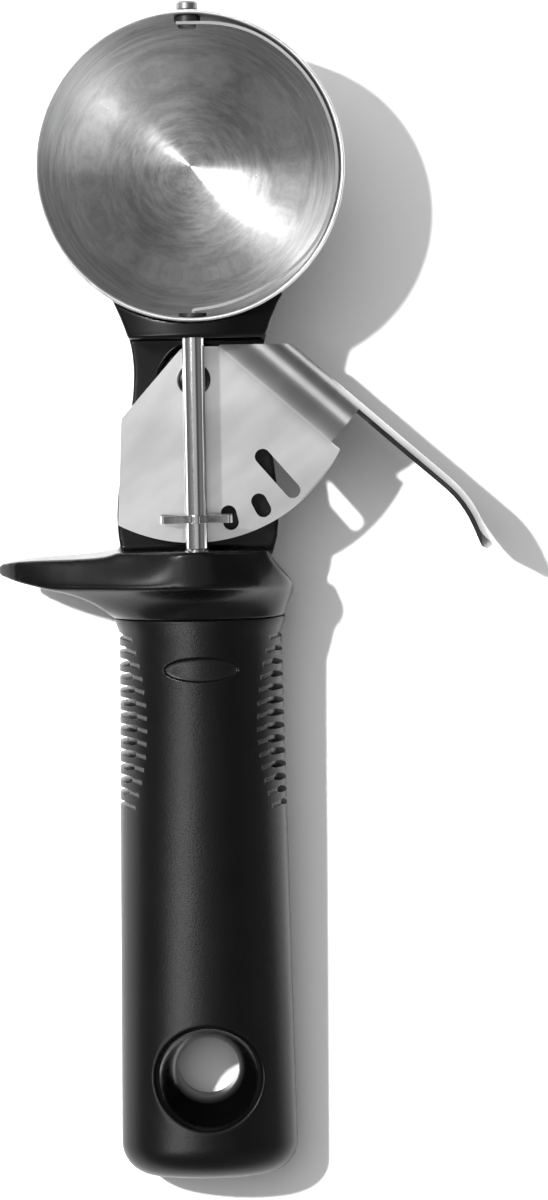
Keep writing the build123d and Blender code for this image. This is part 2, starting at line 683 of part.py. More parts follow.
# ---- Handle core and soft grip ----
GRIP_FRONT_Y = PARTING_Y - BOND
GRIP_W = (GRIP_W_FRONT, GRIP_W_END)
SKIN = 2.4                 # thickness of the soft sleeve over the core
CORE_END_Y = -189.0
BUTT_R = 6.8
HUB_RECESS = 0.5           # hub of the hang hole, below the grip's faces
BACK_TRIM = 0.1            # the grip is shaped this much deeper, and its back is then cut flat
FIN_COUNT = 14
FIN_PITCH = 2.5
FIN_GAP = 1.25
FIN_DEPTH = 1.5
FIN_FIRST_Y = -89.0
FIN_REACH_MID = 10.6       # the gaps come this near to the handle's middle
FIN_REACH_END = 13.2
BADGE = (14.4, 4.9)
BADGE_Y = -95.0
BADGE_DEPTH = 0.5


def handle_loft(end_y, inset):
    """Loft of the handle's section from the grip's front to end_y, moved in by inset."""
    sections = []
    for y in (GRIP_FRONT_Y, end_y):
        with BuildSketch(across(y)) as section:
            handle_face(y, GRIP_W, inset)
        sections.append(section.sketch)
    loft(sections)


with BuildPart() as hub:
    handle_loft(HANDLE_END, HUB_RECESS)
    with BuildSketch(level(HANDLE_BACK - 1)):
        with Locations((HANDLE_X, HANG_Y)):
            Circle(HANG_MOUTH_R - BOND)
    extrude(amount=30, mode=Mode.INTERSECT)

with BuildPart() as handle_core:
    handle_loft(CORE_END_Y, SKIN)
    add(hub.part)
    with BuildSketch(along(HANDLE_X)):
        with BuildLine():
            Line((HANG_Y, HANDLE_BACK), (HANG_Y, HANDLE_TOP[0]))
            wall = Polyline(
                (HANG_Y, HANDLE_BACK),
                (HANG_Y + HANG_THROAT_R + 1.2, HANDLE_BACK),
                (HANG_Y + HANG_THROAT_R, -25.0),
                (HANG_Y + HANG_THROAT_R, -20.0),
            )
            mouth = Spline(
                wall @ 1,
                (HANG_Y + 7.5, -14.0),
                (HANG_Y + HANG_MOUTH_R - 0.4, HANDLE_TOP[1]),
                tangents=[(0, 1), (0.2, 1)],
            )
            Polyline(mouth @ 1, (HANG_Y + HANG_MOUTH_R - 0.4, HANDLE_TOP[0]), (HANG_Y, HANDLE_TOP[0]))
        make_face()
    revolve(axis=Axis(HOME + Vector(HANDLE_X, HANG_Y, 0), (0, 0, 1)), mode=Mode.SUBTRACT)
    with BuildSketch(across(GRIP_FRONT_Y)):
        with Locations((HANDLE_X, TANG_Z)):
            RectangleRounded(TANG[0] + 0.1, TANG[1] + 0.1, 1.5)
    extrude(amount=GRIP_FRONT_Y - TANG_END_Y + 0.1, mode=Mode.SUBTRACT)

with BuildPart() as sleeve_bore:
    handle_loft(CORE_END_Y - BOND, SKIN - BOND)

with BuildPart() as badge_recess:
    with BuildSketch(level(HANDLE_TOP[0] - 5)):
        with Locations((HANDLE_X, BADGE_Y)):
            Ellipse(BADGE[0] / 2, BADGE[1] / 2)
    extrude(amount=6)
    with BuildPart(mode=Mode.SUBTRACT):
        handle_loft(HANDLE_END, BADGE_DEPTH)

with BuildPart() as grip:
    for y in (GRIP_FRONT_Y, HANDLE_END):
        with BuildSketch(across(y)):
            crowned(
                HANDLE_X,
                handle_at(y, GRIP_W) / 2,
                handle_at(y, HANDLE_TOP),
                handle_at(y, HANDLE_WIDEST),
                HANDLE_BACK - BACK_TRIM,
                HANDLE_CORNER,
            )
    loft()
    fillet(faces().sort_by(Axis.Y)[0].edges(), radius=BUTT_R)
    split(bisect_by=level(HANDLE_BACK), keep=Keep.TOP)
    add(sleeve_bore.part, mode=Mode.SUBTRACT)
    with BuildSketch(level(HANDLE_BACK - 1)):
        with Locations((HANDLE_X, HANG_Y)):
            Circle(HANG_MOUTH_R)
    extrude(amount=30, mode=Mode.SUBTRACT)
    for index in range(FIN_COUNT):
        gap_y = FIN_FIRST_Y - index * FIN_PITCH
        middle = (FIN_COUNT - 1) / 2
        bulge = 1 - ((index - middle) / middle) ** 2
        reach = FIN_REACH_END + (FIN_REACH_MID - FIN_REACH_END) * bulge
        with BuildSketch(across(gap_y + FIN_GAP / 2)):
            with Locations((HANDLE_X, HANDLE_BACK / 2)):
                Rectangle(GRIP_W_END + 4, -HANDLE_BACK + 4)
            with BuildSketch(Plane.XY, mode=Mode.SUBTRACT):
                handle_face(gap_y, GRIP_W, FIN_DEPTH)
            with Locations((HANDLE_X, HANDLE_BACK / 2)):
                Rectangle(2 * reach, -HANDLE_BACK + 6, mode=Mode.SUBTRACT)
        extrude(amount=FIN_GAP, mode=Mode.SUBTRACT)
    add(badge_recess.part, mode=Mode.SUBTRACT)

# ---- Write one STEP file for each piece ----
pieces = {
    "bowl": bowl,
    "bowl_bracket": bowl_bracket,
    "bracket_screws": bracket_screws,
    "scraper_blade": scraper_blade,
    "tip_pin": tip_pin,
    "tip_bushing": tip_bushing,
    "drive_shaft": drive_shaft,
    "drive_pinion": drive_pinion,
    "front_bushing": front_bushing,
    "rear_bushing": rear_bushing,
    "shaft_washer": shaft_washer,
    "thumb_lever": thumb_lever,
    "lever_rivet": lever_rivet,
    "pivot_sleeve": pivot_sleeve,
    "lever_washer": lever_washer,
    "rivet_washer": rivet_washer,
    "return_spring": return_spring,
    "body": body,
    "handle_core": handle_core,
    "grip": grip,
}

os.makedirs("parts", exist_ok=True)
for name, piece in pieces.items():
    piece.part.label = name
    export_step(piece.part, f"parts/{name}.step")
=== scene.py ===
"""Lever ice cream scoop on a white table, seen from above in soft studio light.

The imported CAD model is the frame. Places and the sizes of pieces are given in millimetres from the
centre of the bowl's sphere, which the frame gives. local() and MM turn them into the scene's metres.
"""

from math import atan2, cos, pi, radians, sin

import bmesh
import bpy
from mathutils import Matrix, Vector


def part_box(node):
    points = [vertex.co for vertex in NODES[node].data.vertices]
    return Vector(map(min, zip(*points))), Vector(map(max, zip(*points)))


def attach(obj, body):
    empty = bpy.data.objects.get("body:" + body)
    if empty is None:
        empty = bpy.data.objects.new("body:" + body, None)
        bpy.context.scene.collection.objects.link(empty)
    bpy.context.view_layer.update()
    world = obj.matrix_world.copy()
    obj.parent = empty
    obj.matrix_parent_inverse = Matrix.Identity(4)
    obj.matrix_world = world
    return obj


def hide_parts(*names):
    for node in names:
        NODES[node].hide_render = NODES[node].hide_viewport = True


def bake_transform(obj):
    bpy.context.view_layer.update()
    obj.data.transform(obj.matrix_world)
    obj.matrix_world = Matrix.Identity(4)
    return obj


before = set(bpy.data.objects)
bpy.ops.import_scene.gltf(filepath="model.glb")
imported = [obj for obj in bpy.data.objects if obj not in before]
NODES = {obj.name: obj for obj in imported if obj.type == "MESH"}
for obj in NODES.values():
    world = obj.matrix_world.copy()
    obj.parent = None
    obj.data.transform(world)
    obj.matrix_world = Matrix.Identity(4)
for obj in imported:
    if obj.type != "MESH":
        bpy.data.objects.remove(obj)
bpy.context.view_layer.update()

# ---- Places from the frame ----
MM = 0.001
bowl_low, bowl_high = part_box("bowl")
BOWL_R = (bowl_high.x - bowl_low.x) / 2
HOME = Vector(((bowl_low.x + bowl_high.x) / 2, (bowl_low.y + bowl_high.y) / 2, bowl_low.z + BOWL_R))


def local(x, y, z):
    """Point given in millimetres from the centre of the bowl's sphere."""
    return HOME + Vector((x, y, z)) * MM


# ---- Node helpers for materials ----
def new_material(name):
    """New material with its node tree and its Principled shader."""
    material = bpy.data.materials.new(name)
    material.use_nodes = True
    tree = material.node_tree
    shader = tree.nodes["Principled BSDF"]
    return material, tree, shader


def add(tree, kind, **settings):
    """Node of a kind, with its properties set."""
    node = tree.nodes.new(kind)
    for key, value in settings.items():
        setattr(node, key, value)
    return node


def put(tree, socket, value):
    """Link value to the socket if it is a socket, otherwise set it."""
    if isinstance(value, bpy.types.NodeSocket):
        tree.links.new(value, socket)
    else:
        socket.default_value = value


def calc(tree, operation, a, b=0.0, c=0.0):
    """Math node."""
    node = add(tree, "ShaderNodeMath", operation=operation)
    for socket, value in zip(node.inputs, (a, b, c)):
        put(tree, socket, value)
    return node.outputs[0]


def remap(tree, value, low, high, to_low, to_high, smooth=True):
    """Map Range node."""
    node = add(tree, "ShaderNodeMapRange")
    node.interpolation_type = "SMOOTHSTEP" if smooth else "LINEAR"
    for socket, v in zip(node.inputs, (value, low, high, to_low, to_high)):
        put(tree, socket, v)
    return node.outputs[0]


def noise(tree, vector, scale, detail, roughness):
    """Noise texture, values about 0.5."""
    node = add(tree, "ShaderNodeTexNoise")
    put(tree, node.inputs["Vector"], vector)
    node.inputs["Scale"].default_value = scale
    node.inputs["Detail"].default_value = detail
    node.inputs["Roughness"].default_value = roughness
    return node.outputs["Fac"]


def position(tree, centre=(0, 0, 0), angle=0.0, stretch=(1, 1, 1)):
    """Object coordinates moved to a centre, turned about Z and stretched."""
    coordinates = add(tree, "ShaderNodeTexCoord").outputs["Object"]
    shift = add(tree, "ShaderNodeVectorMath", operation="SUBTRACT")
    put(tree, shift.inputs[0], coordinates)
    shift.inputs[1].default_value = centre
    turn = add(tree, "ShaderNodeVectorRotate", rotation_type="Z_AXIS")
    put(tree, turn.inputs["Vector"], shift.outputs[0])
    turn.inputs["Angle"].default_value = angle
    size = add(tree, "ShaderNodeVectorMath", operation="MULTIPLY")
    put(tree, size.inputs[0], turn.outputs[0])
    size.inputs[1].default_value = stretch
    return size.outputs[0]


def grey(tree, value):
    """Colour from one value."""
    node = add(tree, "ShaderNodeCombineColor")
    for socket in node.inputs[:3]:
        put(tree, socket, value)
    return node.outputs[0]


def bump(tree, shader, height, strength, distance):
    """Bump on the shader's normal."""
    node = add(tree, "ShaderNodeBump")
    node.inputs["Strength"].default_value = strength
    node.inputs["Distance"].default_value = distance
    put(tree, node.inputs["Height"], height)
    put(tree, shader.inputs["Normal"], node.outputs[0])


# ---- Materials ----
RIM_BAND = (2.8, 3.1)          # the rim begins this far above the bowl's centre: duller, and paler as a painted highlight
RING_LENGTH = 0.0035           # metres that a radian counts in the texture of the fine rings
ARC_SCALE = 700.0              # units that a metre across the long arcs counts in their texture


def spun_steel():
    """Inside and outside of the bowl: brushed round its axis, with faint rings and long arcs."""
    material, tree, shader = new_material("spun_steel")
    place = position(tree, HOME)
    split = add(tree, "ShaderNodeSeparateXYZ")
    put(tree, split.inputs[0], place)
    x, y, z = split.outputs
    squares = calc(tree, "ADD", calc(tree, "MULTIPLY", x, x), calc(tree, "MULTIPLY", y, y))
    radius = calc(tree, "SQRT", squares)
    angle = calc(tree, "ARCTAN2", y, x)
    depth = calc(tree, "SUBTRACT", radius, z)
    polar = add(tree, "ShaderNodeCombineXYZ")
    put(tree, polar.inputs[0], calc(tree, "MULTIPLY", angle, RING_LENGTH))
    put(tree, polar.inputs[1], depth)
    fine = noise(tree, polar.outputs[0], 9000, 3, 0.7)
    medium = noise(tree, polar.outputs[0], 1800, 2, 0.6)
    wide = noise(tree, polar.outputs[0], 380, 1, 0.5)
    cloud = noise(tree, place, 60, 2, 0.5)
    around = add(tree, "ShaderNodeCombineXYZ")
    put(tree, around.inputs[0], calc(tree, "COSINE", angle))
    put(tree, around.inputs[1], calc(tree, "SINE", angle))
    put(tree, around.inputs[2], calc(tree, "MULTIPLY", depth, ARC_SCALE))
    arcs = noise(tree, around.outputs[0], 2.2, 6, 0.75)
    tone = calc(tree, "MULTIPLY_ADD", fine, 0.14, 0.36)
    tone = calc(tree, "ADD", remap(tree, arcs, 0.32, 0.68, 0.0, 0.30), tone)
    tone = calc(tree, "ADD", remap(tree, wide, 0.3, 0.7, 0.0, 0.14), tone)
    rim = remap(tree, z, RIM_BAND[0] * MM, RIM_BAND[1] * MM, 0.0, 1.0)
    # Painted highlight: the rim's colour is made paler. Its added roughness and lower anisotropy below are
    # a duller finish.
    tone = calc(tree, "MULTIPLY_ADD", rim, 0.3, tone)
    put(tree, shader.inputs["Base Color"], grey(tree, tone))
    shader.inputs["Metallic"].default_value = 1.0
    rough = calc(tree, "MULTIPLY_ADD", medium, 0.10, 0.21)
    rough = calc(tree, "MULTIPLY_ADD", cloud, 0.08, rough)
    put(tree, shader.inputs["Roughness"], calc(tree, "MULTIPLY_ADD", rim, 0.22, rough))
    put(tree, shader.inputs["Anisotropic"], calc(tree, "MULTIPLY_ADD", rim, -0.9, 0.95))
    shader.inputs["Anisotropic Rotation"].default_value = 0.25
    tangent = add(tree, "ShaderNodeTangent", direction_type="RADIAL", axis="Z")
    put(tree, shader.inputs["Tangent"], tangent.outputs[0])
    bump(tree, shader, calc(tree, "MULTIPLY_ADD", medium, 0.6, fine), 0.12, 0.00004)
    return material


def brushed_steel(name, angle, tone, rough, grain, anisotropy, smears_and_painted_light=None):
    """Satin sheet steel with a grain along one direction in the plane of the sheet."""
    material, tree, shader = new_material(name)
    place = position(tree, HOME, angle, (1, 22, 8))
    fine = noise(tree, place, 420, 4, 0.75)
    cloud = noise(tree, position(tree, HOME), 45, 2, 0.5)
    colour = calc(tree, "MULTIPLY_ADD", fine, grain, tone - grain / 2)
    colour = calc(tree, "MULTIPLY_ADD", cloud, 0.06, colour)
    # For the lever this factor paints a highlight along the crease and shade on the fold's outer side and
    # the pad, and adds smears.
    if smears_and_painted_light:
        colour = calc(tree, "MULTIPLY", colour, smears_and_painted_light(tree))
    put(tree, shader.inputs["Base Color"], grey(tree, colour))
    shader.inputs["Metallic"].default_value = 1.0
    roughness = calc(tree, "MULTIPLY_ADD", fine, 0.12, rough - 0.06)
    put(tree, shader.inputs["Roughness"], roughness)
    shader.inputs["Anisotropic"].default_value = anisotropy
    bump(tree, shader, fine, 0.10, 0.00003)
    return material


def polished_steel(name, rough, tone):
    """Turned and polished steel with faint lines along Y and small marks."""
    material, tree, shader = new_material(name)
    lines = noise(tree, position(tree, HOME, 0, (30, 1, 30)), 160, 3, 0.6)
    marks = noise(tree, position(tree, HOME), 700, 3, 0.6)
    colour = calc(tree, "MULTIPLY_ADD", lines, 0.08, tone - 0.04)
    put(tree, shader.inputs["Base Color"], grey(tree, colour))
    shader.inputs["Metallic"].default_value = 1.0
    put(tree, shader.inputs["Roughness"], calc(tree, "MULTIPLY_ADD", marks, 0.08, rough - 0.04))
    bump(tree, shader, lines, 0.05, 0.00003)
    return material


def black_plastic(name, rough, tone, grain, level=0.4):
    """Moulded black plastic, satin, with a very fine grain and slight clouding of the gloss."""
    material, tree, shader = new_material(name)
    place = position(tree, HOME)
    fine = noise(tree, place, 5200, 2, 0.6)
    cloud = noise(tree, place, 70, 3, 0.55)
    colour = calc(tree, "MULTIPLY_ADD", cloud, tone, tone * 0.6)
    put(tree, shader.inputs["Base Color"], grey(tree, colour))
    put(tree, shader.inputs["Roughness"], calc(tree, "MULTIPLY_ADD", cloud, 0.10, rough - 0.05))
    shader.inputs["IOR"].default_value = 1.5
    shader.inputs["Specular IOR Level"].default_value = level
    bump(tree, shader, fine, grain, 0.00002)
    return material


def soft_rubber():
    """Matt black elastomer with a fine pebbled grain, lighter where the mesh says pale."""
    material, tree, shader = new_material("soft_rubber")
    place = position(tree, HOME)
    pebble = add(tree, "ShaderNodeTexVoronoi")
    put(tree, pebble.inputs["Vector"], place)
    pebble.inputs["Scale"].default_value = 2600
    fine = noise(tree, place, 6500, 2, 0.6)
    cloud = noise(tree, place, 90, 3, 0.6)
    height = calc(tree, "MULTIPLY_ADD", fine, 0.5, pebble.outputs["Distance"])
    pale = add(tree, "ShaderNodeAttribute", attribute_name="pale").outputs["Fac"]
    tone = calc(tree, "MULTIPLY_ADD", cloud, 0.0015, 0.001)
    tone = calc(tree, "MULTIPLY_ADD", pale, 0.05, tone)
    put(tree, shader.inputs["Base Color"], grey(tree, tone))
    put(tree, shader.inputs["Roughness"], calc(tree, "MULTIPLY_ADD", cloud, 0.06, 0.31))
    shader.inputs["IOR"].default_value = 1.48
    shader.inputs["Specular IOR Level"].default_value = 0.24
    bump(tree, shader, height, 0.35, 0.00004)
    return material


def table_white():
    """Plain white table."""
    material, tree, shader = new_material("table_white")
    cloud = noise(tree, position(tree), 6, 2, 0.5)
    colour = calc(tree, "MULTIPLY_ADD", cloud, 0.01, 0.895)
    put(tree, shader.inputs["Base Color"], grey(tree, colour))
    shader.inputs["Roughness"].default_value = 0.9
    shader.inputs["Specular IOR Level"].default_value = 0.1
    return material


CREASE = (0.7533, -0.6579)     # direction of the crease along X and Y
CREASE_START = (4.8, -33.7, 0)
CREASE_TURN = atan2(-CREASE[1], CREASE[0])
CREASE_HIGHLIGHT = 0.35             # half width of the painted highlight along the crease
OUTER_SHADE = (6.2, 8.2)        # painted shade on the outer side begins this far from the crease
PAD_SHADE = (30.5, 31.5)       # and painted shade on the pad this far along it


def lever_smears_and_painted_light(tree):
    """Painted highlight along the crease, painted shade on the outer side of the fold and on the pad, and
    random smears.
    """
    split = add(tree, "ShaderNodeSeparateXYZ")
    put(tree, split.inputs[0], position(tree, local(*CREASE_START), CREASE_TURN))
    along, out = split.outputs[0], split.outputs[1]
    # Painted highlight along the crease, 1.3 times as bright at its middle.
    line = remap(tree, calc(tree, "ABSOLUTE", out), 0.0, CREASE_HIGHLIGHT * MM, 1.3, 1.0)
    side = remap(tree, out, OUTER_SHADE[0] * MM, OUTER_SHADE[1] * MM, 0.0, 1.0)
    pad = remap(tree, along, PAD_SHADE[0] * MM, PAD_SHADE[1] * MM, 0.0, 1.0)
    # Painted shade: the outer side of the fold and the pad keep 0.4 of their colour.
    painted_shade = remap(tree, calc(tree, "MAXIMUM", side, pad), 0.0, 1.0, 1.0, 0.4, smooth=False)
    smears = noise(tree, position(tree, HOME, -CREASE_TURN, (1, 2.5, 1)), 42, 2, 0.55)
    smears = remap(tree, smears, 0.3, 0.7, 0.86, 1.12)
    return calc(tree, "MULTIPLY", calc(tree, "MULTIPLY", line, painted_shade), smears)


SPUN = spun_steel()
LEVER_STEEL = brushed_steel(
    "lever_steel", CREASE_TURN, tone=0.76, rough=0.31, grain=0.14, anisotropy=0.0, smears_and_painted_light=lever_smears_and_painted_light
)
BLADE_STEEL = brushed_steel("blade_steel", 0.0, tone=0.66, rough=0.22, grain=0.08, anisotropy=0.3)
SHAFT_STEEL = polished_steel("shaft_steel", rough=0.12, tone=0.66)
PIN_STEEL = polished_steel("pin_steel", rough=0.22, tone=0.52)
TIP_STEEL = polished_steel("tip_steel", rough=0.46, tone=0.28)
SPRING_STEEL = polished_steel("spring_steel", rough=0.25, tone=0.4)
BLACK_STEEL = polished_steel("black_steel", rough=0.22, tone=0.07)
BODY_BLACK = black_plastic("body_black", rough=0.27, tone=0.0015, grain=0.2, level=0.24)
CORE_BLACK = black_plastic("core_black", rough=0.16, tone=0.001, grain=0.06, level=0.3)
BUSH_BLACK = black_plastic("bush_black", rough=0.4, tone=0.01, grain=0.2)
RUBBER = soft_rubber()

FINISH = {
    "bowl": SPUN, "bowl_bracket": PIN_STEEL, "bracket_screws": PIN_STEEL, "scraper_blade": BLADE_STEEL,
    "tip_pin": TIP_STEEL, "tip_bushing": BUSH_BLACK, "drive_shaft": SHAFT_STEEL, "drive_pinion": PIN_STEEL,
    "front_bushing": BUSH_BLACK, "rear_bushing": BUSH_BLACK, "shaft_washer": PIN_STEEL,
    "thumb_lever": LEVER_STEEL, "lever_rivet": BLACK_STEEL, "pivot_sleeve": PIN_STEEL,
    "lever_washer": BUSH_BLACK, "rivet_washer": PIN_STEEL, "return_spring": SPRING_STEEL,
    "body": BODY_BLACK, "handle_core": CORE_BLACK, "grip": RUBBER,
}


def dress(piece, material):
    """Give the piece one material."""
    piece.data.materials.clear()
    piece.data.materials.append(material)


for node_name, finish in FINISH.items():
    dress(NODES[node_name], finish)


# ---- Pieces built over the frame ----
WELD = 0.002               # vertices nearer to each other than this become one


def new_object(name, mesh):
    """Object for a mesh, linked to the scene."""
    piece = bpy.data.objects.new(name, mesh)
    bpy.context.scene.collection.objects.link(piece)
    return piece


def edit_mesh(mesh, change):
    """Change a mesh with a function that takes it as a bmesh."""
    work = bmesh.new()
    work.from_mesh(mesh)
    change(work)
    work.to_mesh(mesh)
    work.free()


def copy_of(node_name, name):
    """Welded copy of a CAD node's mesh in a new object, without its custom normals."""
    mesh = NODES[node_name].data.copy()
    mesh.name = name
    if "custom_normal" in mesh.attributes:
        mesh.attributes.remove(mesh.attributes["custom_normal"])
    edit_mesh(mesh, lambda work: bmesh.ops.remove_doubles(work, verts=work.verts, dist=WELD * MM))
    return new_object(name, mesh)


def settle(piece, material, body, stands_for, sharp):
    """Shade a piece smooth up to an angle, give it its material and body, and hide the CAD node that it
    stands for.
    """
    dress(piece, material)
    piece.data.polygons.foreach_set("use_smooth", [True] * len(piece.data.polygons))
    piece.data.set_sharp_from_angle(angle=radians(sharp))
    if body:
        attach(piece, body)
    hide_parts(stands_for)


def apply_modifiers(piece):
    """Replace a piece's mesh by the result of its modifiers."""
    graph = bpy.context.evaluated_depsgraph_get()
    mesh = bpy.data.meshes.new_from_object(piece.evaluated_get(graph))
    piece.modifiers.clear()
    piece.data = mesh


def ramp(value, start, end):
    """Smooth step from 0 at start to 1 at end."""
    share = min(max((value - start) / (end - start), 0.0), 1.0)
    return share * share * (3 - 2 * share)


# ---- Bowl: the CAD form, with the middle of its brushing moved to the lowest point of the dish ----
POLE = (0.0, 1.6, 0.0)

dish_mesh = NODES["bowl"].data.copy()
dish_mesh.use_auto_texspace = False
dish_mesh.texspace_location = local(*POLE)
dish = new_object("bowl_dish", dish_mesh)
dress(dish, SPUN)
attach(dish, "handle")
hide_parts("bowl")

# ---- Body: the CAD form with its edges rolled over, as a moulding has them ----
VOXEL = 0.28
FIRST_PASSES, ROLL_PASSES = 9, 40      # of smoothing: everywhere, and where the edges are rolled

GUARD_FOOT_Z, GUARD_CREST_Y, GUARD_FRONT_Y = -8.3, -79.0, -71.5
GUARD_ROOM_Y = -69.5           # nothing further ahead belongs to the guard
GUARD_SIDE = (2.5, 12.5)       # beside the shaft the slope grows in from one to the other
GUARD_DROP = 0.22              # share of its height that the guard's front loses there
BRIDGE_ROOM = (-34.0, -22.0)   # the bridge lies between these along Y
BRIDGE_RISE = (-6.0, 1.0)      # up the bridge its crown grows in from one to the other
BRIDGE_CROWN = 0.018           # fall of the bridge's top to its sides, per mm across squared

# Where the rolling of the shoulder's and the guard's edges begins, and where it is full
ROLL_FRONT, ROLL_BACK = (-70.5, -72.5), (-84.5, -82.0)     # along Y
ROLL_BORE = (3.2, 5.7)         # away from the shaft, whose bore keeps its edge
ROLL_TIP = (-36.0, -28.0)      # away from the guard's thin tip, along X
ROLL_FOOT = (-22.0, -16.0)     # upwards
ROLL_LEAST = 0.01              # a vertex with a smaller share is left out


def even_out(piece, iterations, group=""):
    """Even out a piece's mesh, all of it or where a vertex group says."""
    modifier = piece.modifiers.new("smooth", "SMOOTH")
    modifier.factor = 0.5
    modifier.iterations = iterations
    modifier.vertex_group = group
    apply_modifiers(piece)


def sunk(x, y, z):
    """Height of a point once the guard's front slopes down and the bridge's top is crowned."""
    if z > GUARD_FOOT_Z and y < GUARD_ROOM_Y:
        slope = ramp(y, GUARD_CREST_Y, GUARD_FRONT_Y) * ramp(abs(x), *GUARD_SIDE)
        z -= (z - GUARD_FOOT_Z) * GUARD_DROP * slope
    if z > BRIDGE_RISE[0] and BRIDGE_ROOM[0] < y < BRIDGE_ROOM[1]:
        z -= BRIDGE_CROWN * x * x * ramp(z, *BRIDGE_RISE)
    return z


def roll_share(x, y, z):
    """How far the edges at a point of the shoulder and the guard are rolled over, 0 to 1."""
    share = ramp(y, *ROLL_FRONT) * ramp(y, *ROLL_BACK) * ramp((x * x + z * z) ** 0.5, *ROLL_BORE)
    return share * ramp(x, *ROLL_TIP) * ramp(z, *ROLL_FOOT)


moulding = copy_of("body", "body_moulding")
remesh = moulding.modifiers.new("voxels", "REMESH")
remesh.mode = "VOXEL"
remesh.voxel_size = VOXEL * MM
even_out(moulding, FIRST_PASSES)
rolled = moulding.vertex_groups.new(name="rolled")
for vertex in moulding.data.vertices:
    x, y, z = (vertex.co - HOME) / MM
    z = sunk(x, y, z)
    vertex.co = local(x, y, z)
    share = roll_share(x, y, z)
    if share > ROLL_LEAST:
        rolled.add((vertex.index,), share, "REPLACE")
even_out(moulding, ROLL_PASSES, "rolled")
settle(moulding, BODY_BLACK, "handle", "body", sharp=180)

# ---- Grip: a grid of columns round the handle and rows along it, in millimetres ----
GRIP_FRONT, GRIP_END = -85.52, -195.3
GRIP_X, GRIP_BACK, GRIP_CORNER = 0.4, -29.0, 9.0
GRIP_HALF_W = (15.6, 17.3)     # this and the next two hold the value at the front and at the end
GRIP_TOP = (-1.5, -8.1)
GRIP_WIDEST = (-15.3, -19.4)
FLARE, FLARE_LENGTH = 0.9, 3.6
FLAT_SHARE, CORNER_SHARE = 0.5, 0.9    # where the flat back and the corner end in a quarter's columns
FRONT_R, BUTT_R = 0.45, 6.8    # roundings of the grip's front edge and of its end
BUTT_STEPS = 16
PLAIN_END = GRIP_END + BUTT_R + 0.2    # the last plain row stays ahead of the end's rounding
END_RINGS = (0.8, 0.5, 0.2)    # sizes of the rings inside a flat end, against its edge
LEAD_ROWS = (-86.4, -86.9)     # two rows between the front's rounding and the fins
QUARTER = 96                   # columns in a quarter of the section
COLUMNS = 4 * QUARTER
TOP, BOTTOM = QUARTER, 3 * QUARTER     # columns of the middle line above and below

FIN_COUNT, FIN_PITCH, FIN_FIRST = 14, 2.5, -89.0
FIN_ZONE = (-87.4, -123.2)
FIN_ROW, PLAIN_ROW = 0.15, 0.7     # rows are this far apart among the fins and behind them
REACH_MID, REACH_END = 10.6, 13.2
GAP_HALF_W = (0.36, 0.58)      # this and the next hold the value in the bar and in the open gap
GAP_DEPTH = (0.4, 1.9)
GAP_EDGE = 0.07                # half width of the soft edges along a gap
GAP_START, GAP_STEP = 0.3, 0.5     # lengths over which a gap begins, and steps down behind its bar
GAP_WIDENING = 0.6             # half the length over which it widens there
BAR = 2.1                      # length of the bar, the shallow inner end of a gap
BAR_SLOPE = 0.23               # how far the bar leans along the grip, per mm of its length

HOLE_Y, HOLE_R, HOLE_LIP = -174.5, 10.25, 0.6
HOLE_BLOCK = (13.0, 12.6)      # half width and half length of the grid's opening for the hole
HOLE_RINGS, LIP_RINGS = 7, 6
BADGE_Y, BADGE_RX, BADGE_RY, BADGE_DEPTH = -95.0, 7.2, 2.45, 0.45
BADGE_BLOCK = (9.0, 4.1)
BADGE_RINGS = 8
FLOOR_RINGS = (0.8, 0.6, 0.4, 0.2)     # sizes of the rings on the oval's floor, against the floor
BADGE_EDGE = ((0.08, 0.07), (0.2, 0.22), (0.34, 0.37), (0.48, BADGE_DEPTH))   # inset and depth
BADGE_TINT = 0.03


def along_grip(pair, y):
    """Value at y of something that changes evenly along the grip."""
    return pair[0] + (pair[1] - pair[0]) * (GRIP_FRONT - y) / (GRIP_FRONT - GRIP_END)


def half_width(y):
    """Half the grip's width, which flares out to meet the collar."""
    return along_grip(GRIP_HALF_W, y) + FLARE * ramp(y, GRIP_FRONT - FLARE_LENGTH, GRIP_FRONT)


def section(column, y, inset):
    """Point of the grip's section in a column, moved in by inset; column 0 is at the right."""
    width = half_width(y) - inset
    widest = along_grip(GRIP_WIDEST, y)
    if column <= 2 * QUARTER:
        t = pi / 2 * column / QUARTER
        return width * cos(t), widest + (along_grip(GRIP_TOP, y) - inset - widest) * sin(t)
    share = abs(column - BOTTOM) / QUARTER
    side = -1 if column < BOTTOM else 1
    back, corner = GRIP_BACK + inset, GRIP_CORNER - inset
    if share < FLAT_SHARE:
        return side * (width - corner) * share / FLAT_SHARE, back
    if share < CORNER_SHARE:
        t = pi / 2 * (share - FLAT_SHARE) / (CORNER_SHARE - FLAT_SHARE)
        return side * (width - corner + corner * sin(t)), back + corner * (1 - cos(t))
    share = (share - CORNER_SHARE) / (1 - CORNER_SHARE)
    return side * width, back + corner + (widest - back - corner) * share


def face_z(x, y, side):
    """Height of the grip's upper (side 1) or lower (side -1) face at x from its middle."""
    if side > 0:
        widest = along_grip(GRIP_WIDEST, y)
        share = 1 - (x / half_width(y)) ** 2
        return widest + (along_grip(GRIP_TOP, y) - widest) * share ** 0.5
    beyond = max(abs(x) - half_width(y) + GRIP_CORNER, 0)
    return GRIP_BACK + GRIP_CORNER - (GRIP_CORNER ** 2 - beyond ** 2) ** 0.5


